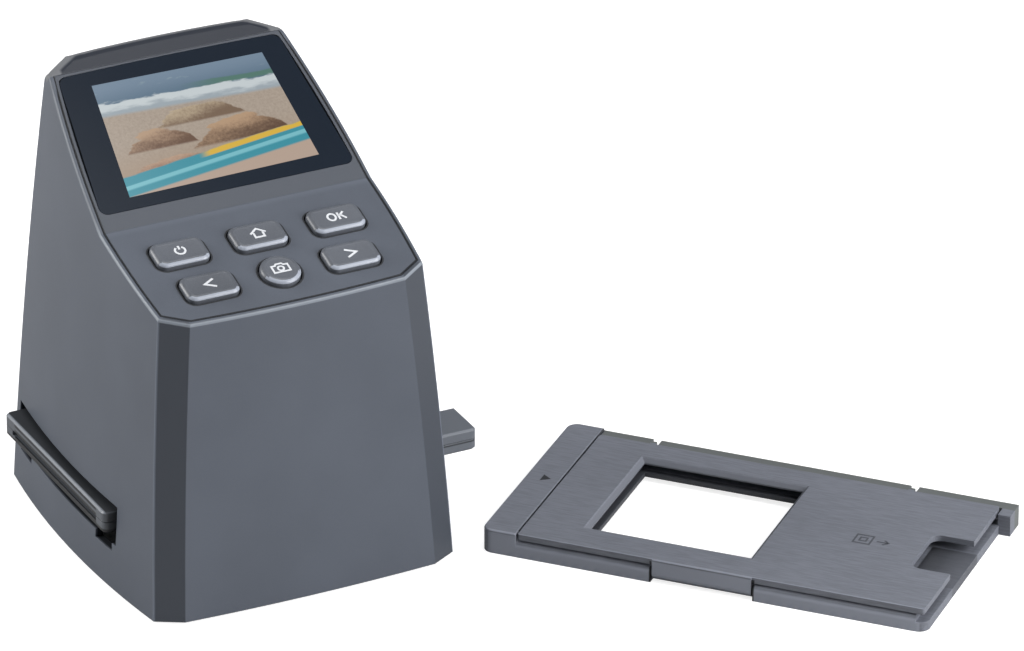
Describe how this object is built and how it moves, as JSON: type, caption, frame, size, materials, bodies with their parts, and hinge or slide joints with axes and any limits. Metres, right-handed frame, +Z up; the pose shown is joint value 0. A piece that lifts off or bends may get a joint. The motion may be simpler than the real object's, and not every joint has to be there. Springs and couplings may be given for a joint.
{
  "type": "film negative scanner",
  "caption": "Desk-top film scanner: tapered tower with a sloping screen and keys, a film tray sliding through it, and a loose slide holder with a hinged cover.",
  "frame": {"origin": "under the middle of the tower, on the desk (the base plate's underside, 0.5 mm up, is the nearest face)", "axes": "+X to the right as seen from the front, +Y to the back, +Z up"},
  "size_m": [0.2259, 0.1854, 0.1198],
  "materials": {
    "shell_plastic": "fine matte moulded dark slate grey",
    "key_plastic": "satin moulded dark grey keys with white printed symbols",
    "tray_plastic": "satin moulded dark grey",
    "holder_plastic": "moulded grey with fine flow streaks",
    "black_plastic": "matt black",
    "white_plastic": "matt white",
    "screen_glass": "dark tinted cover pane, glossy",
    "display": "display panel with a lit picture",
    "frame_metal": "thin pressed sheet",
    "screw_steel": "plated screws and pin",
    "spring_steel": "leaf spring",
    "circuit_board": "green solder mask",
    "chip": "black chip package",
    "led": "white LEDs",
    "diffuser": "milky diffusing sheet",
    "lens_glass": "clear",
    "flex": "amber flat cable",
    "rubber": "black rubber pads"
  },
  "bodies": {
    "scanner": {"body_shell": "shell_plastic", "base_plate": "shell_plastic", "rubber_feet": "rubber", "base_screws": "screw_steel", "control_panel": "shell_plastic", "screen_glass": "screen_glass", "lcd_module": "display", "lcd_frame": "frame_metal", "frame_screws": "screw_steel", "key_board": "circuit_board", "key_switches": "black_plastic", "key_board_screws": "screw_steel", "film_channel": "black_plastic", "channel_lid": "black_plastic", "tray_springs": "spring_steel", "light_box": "white_plastic", "led_board": "circuit_board", "backlight_leds": "led", "diffuser": "diffuser", "camera_hood": "black_plastic", "lens_barrel": "black_plastic", "front_lens": "lens_glass", "rear_lens": "lens_glass", "sensor_board": "circuit_board", "image_sensor": "chip", "sensor_screws": "screw_steel", "main_board": "circuit_board", "processor": "chip", "main_board_screws": "screw_steel", "usb_socket": "frame_metal", "card_socket": "frame_metal", "flex_sockets": "white_plastic", "lcd_flex": "flex", "key_flex": "flex"},
    "power_key": {"power_key": "key_plastic"},
    "home_key": {"home_key": "key_plastic"},
    "ok_key": {"ok_key": "key_plastic"},
    "left_key": {"left_key": "key_plastic"},
    "capture_key": {"capture_key": "key_plastic"},
    "right_key": {"right_key": "key_plastic"},
    "film_tray": {"tray_base": "tray_plastic", "tray_lid": "tray_plastic"},
    "slide_holder": {"holder_base": "holder_plastic", "holder_pin": "screw_steel"},
    "holder_cover": {"holder_cover": "holder_plastic"}
  },
  "joints": [
    {"name": "power_key_press", "type": "slide", "parent": "scanner", "child": "power_key", "axis": [0, 0.284, -0.9588], "range_m": [0, 0.0008], "stiffness_N_per_m": 500, "springref_m": -0.0008},
    {"name": "home_key_press", "type": "slide", "parent": "scanner", "child": "home_key", "axis": [0, 0.284, -0.9588], "range_m": [0, 0.0008], "stiffness_N_per_m": 500, "springref_m": -0.0008},
    {"name": "ok_key_press", "type": "slide", "parent": "scanner", "child": "ok_key", "axis": [0, 0.284, -0.9588], "range_m": [0, 0.0008], "stiffness_N_per_m": 500, "springref_m": -0.0008},
    {"name": "left_key_press", "type": "slide", "parent": "scanner", "child": "left_key", "axis": [0, 0.284, -0.9588], "range_m": [0, 0.0008], "stiffness_N_per_m": 500, "springref_m": -0.0008},
    {"name": "capture_key_press", "type": "slide", "parent": "scanner", "child": "capture_key", "axis": [0, 0.284, -0.9588], "range_m": [0, 0.0008], "stiffness_N_per_m": 500, "springref_m": -0.0008},
    {"name": "right_key_press", "type": "slide", "parent": "scanner", "child": "right_key", "axis": [0, 0.284, -0.9588], "range_m": [0, 0.0008], "stiffness_N_per_m": 500, "springref_m": -0.0008},
    {"name": "tray_slide", "type": "slide", "parent": "scanner", "child": "film_tray", "axis": [1, 0, 0], "range_m": [-0.04, 0.015]},
    {"name": "holder_move", "type": "slide", "parent": "scanner", "child": "slide_holder", "axis": [0.6704, -0.742, 0], "range_m": [0, 0.04]},
    {"name": "cover_hinge", "type": "hinge", "parent": "slide_holder", "child": "holder_cover", "pos_m": [0.09249, -0.08947, 0.0026], "axis": [0.6704, -0.742, 0], "range_deg": [0, 92]}
  ]
}
